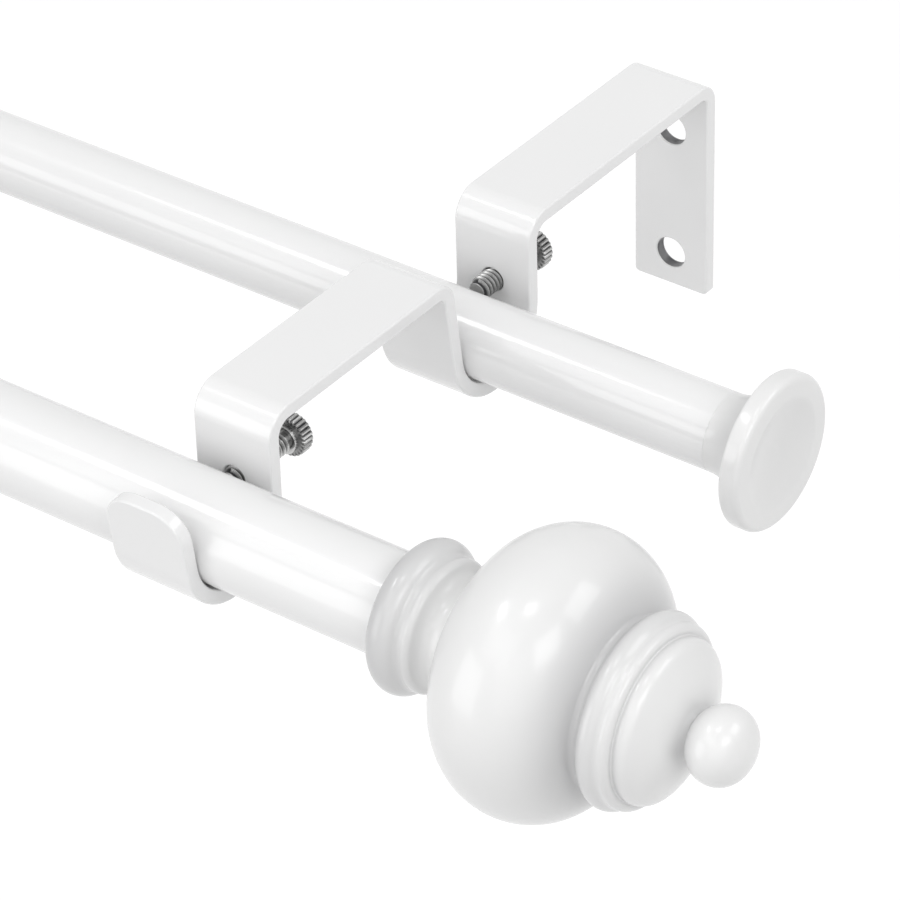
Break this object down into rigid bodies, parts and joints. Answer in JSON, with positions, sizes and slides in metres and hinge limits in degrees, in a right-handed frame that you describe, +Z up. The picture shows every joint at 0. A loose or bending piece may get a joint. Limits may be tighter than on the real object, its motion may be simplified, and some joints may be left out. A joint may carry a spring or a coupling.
{
  "type": "curtain rod with brackets",
  "caption": "Telescoping curtain rod set: a front and a rear tube lying in hooked strap brackets that screw to a wall, clamped by thumb screws, with urn finials and dished end caps.",
  "frame": {"origin": "on the wall face, midway between the two screw holes of the right bracket", "axes": "+X along the rods from the left end to the right end, +Y into the wall, +Z up"},
  "size_m": [0.8946, 0.1861, 0.0593],
  "materials": {
    "white_paint": "gloss white powder coat",
    "white_resin": "gloss white enamelled moulding",
    "nickel": "dark bright nickel plate over turned steel",
    "steel": "zinc plated threaded stud",
    "nylon": "natural moulded nylon"
  },
  "bodies": {
    "wall_brackets": {"bracket_right": "white_paint", "bracket_left": "white_paint"},
    "rear_rod": {"rear_outer_tube": "white_paint"},
    "rear_extension": {"rear_inner_tube": "white_paint"},
    "front_rod": {"front_outer_tube": "white_paint", "tube_plug_right": "nylon"},
    "front_extension": {"front_inner_tube": "white_paint", "tube_plug_left": "nylon"},
    "right_cap": {"end_cap_right": "white_resin"},
    "left_cap": {"end_cap_left": "white_resin"},
    "right_finial_unit": {"finial_right": "white_resin", "finial_stud_right": "steel"},
    "left_finial_unit": {"finial_left": "white_resin", "finial_stud_left": "steel"},
    "rear_right_thumb_screw": {"thumb_screw_rear_right": "nickel"},
    "front_right_thumb_screw": {"thumb_screw_front_right": "nickel"},
    "rear_left_thumb_screw": {"thumb_screw_rear_left": "nickel"},
    "front_left_thumb_screw": {"thumb_screw_front_left": "nickel"}
  },
  "joints": [
    {"name": "rear_rod_lift", "type": "slide", "parent": "wall_brackets", "child": "rear_rod", "axis": [0, -0.1392, 0.9903], "range_m": [0, 0.06]},
    {"name": "front_rod_lift", "type": "slide", "parent": "wall_brackets", "child": "front_rod", "axis": [0, -0.1392, 0.9903], "range_m": [0, 0.06]},
    {"name": "rear_rod_extend", "type": "slide", "parent": "rear_rod", "child": "rear_extension", "axis": [-1, 0, 0], "range_m": [-0.035, 0.47]},
    {"name": "front_rod_extend", "type": "slide", "parent": "front_rod", "child": "front_extension", "axis": [-1, 0, 0], "range_m": [-0.035, 0.47]},
    {"name": "right_end_cap_pull", "type": "slide", "parent": "rear_rod", "child": "right_cap", "axis": [1, 0, 0], "range_m": [0, 0.03]},
    {"name": "left_end_cap_pull", "type": "slide", "parent": "rear_extension", "child": "left_cap", "axis": [-1, 0, 0], "range_m": [0, 0.03]},
    {"name": "right_finial_draw", "type": "slide", "parent": "front_rod", "child": "right_finial_unit", "axis": [1, 0, 0], "range_m": [0, 0.03]},
    {"name": "left_finial_draw", "type": "slide", "parent": "front_extension", "child": "left_finial_unit", "axis": [-1, 0, 0], "range_m": [0, 0.03]},
    {"name": "rear_right_thumb_screw_back_out", "type": "slide", "parent": "wall_brackets", "child": "rear_right_thumb_screw", "axis": [0, 1, 0], "range_m": [0, 0.0068]},
    {"name": "front_right_thumb_screw_back_out", "type": "slide", "parent": "wall_brackets", "child": "front_right_thumb_screw", "axis": [0, 1, 0], "range_m": [0, 0.0029]},
    {"name": "rear_left_thumb_screw_back_out", "type": "slide", "parent": "wall_brackets", "child": "rear_left_thumb_screw", "axis": [0, 1, 0], "range_m": [0, 0.0079]},
    {"name": "front_left_thumb_screw_back_out", "type": "slide", "parent": "wall_brackets", "child": "front_left_thumb_screw", "axis": [0, 1, 0], "range_m": [0, 0.0041]}
  ]
}
